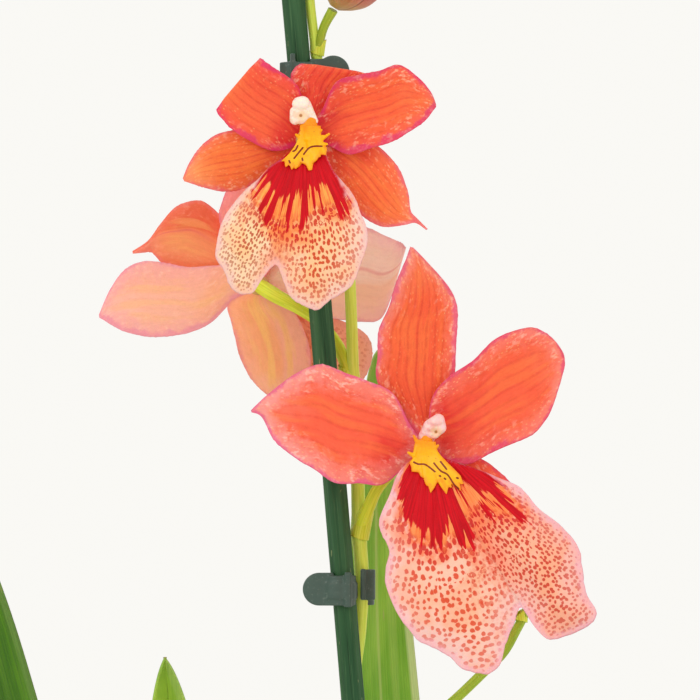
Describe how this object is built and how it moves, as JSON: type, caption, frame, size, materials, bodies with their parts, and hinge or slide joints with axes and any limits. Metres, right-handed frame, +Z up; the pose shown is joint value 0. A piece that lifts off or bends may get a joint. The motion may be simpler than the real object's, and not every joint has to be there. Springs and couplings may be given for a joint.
{
  "type": "potted oncidium orchid",
  "caption": "Potted oncidium-type orchid: strap leaves on pseudobulbs and a staked spike of coral blooms with spotted lips and yellow calluses",
  "frame": {"origin": "middle of the pot's underside, on the surface that it stands on", "axes": "+Z up along the flower spike, +X to the viewer's right in the picture, +Y away from the viewer"},
  "size_m": [0.2204, 0.198, 0.5564],
  "materials": {
    "pot_plastic": "satin moulded",
    "bark": "rough bark chips",
    "cane": "dyed split cane, matte",
    "green_stem": "smooth living stem",
    "clip_plastic": "matte moulded",
    "pseudobulb": "smooth living bulb",
    "leaf": "smooth living leaf, satin",
    "bud": "smooth living bud",
    "tepal": "living petal, soft sheen",
    "lip": "living petal, spotted",
    "callus": "living tissue, waxy",
    "column": "living tissue, waxy"
  },
  "bodies": {
    "root": {"pot": "pot_plastic", "bark_medium": "bark", "stake": "cane", "flower_spike": "green_stem", "clip_upper": "clip_plastic", "clip_lower": "clip_plastic", "clip_bottom": "clip_plastic", "pseudobulb_1": "pseudobulb", "pseudobulb_2": "pseudobulb", "pseudobulb_3": "pseudobulb", "leaf_1": "leaf", "leaf_2": "leaf", "leaf_3": "leaf", "leaf_4": "leaf", "leaf_5": "leaf", "leaf_6": "leaf", "leaf_7": "leaf", "leaf_8": "leaf", "leaf_9": "leaf", "leaf_10": "leaf", "leaf_11": "leaf", "bud_1": "bud", "bud_2": "bud", "bud_3": "bud", "bud_4": "bud", "bud_5": "bud", "bud_6": "bud", "bud_7": "bud", "upper_bloom_tepals": "tepal", "upper_bloom_lip": "lip", "upper_bloom_callus": "callus", "upper_bloom_column": "column", "lower_bloom_tepals": "tepal", "lower_bloom_lip": "lip", "lower_bloom_callus": "callus", "lower_bloom_column": "column", "back_bloom_tepals": "tepal", "back_bloom_lip": "lip", "back_bloom_callus": "callus", "back_bloom_column": "column"}
  },
  "joints": []
}
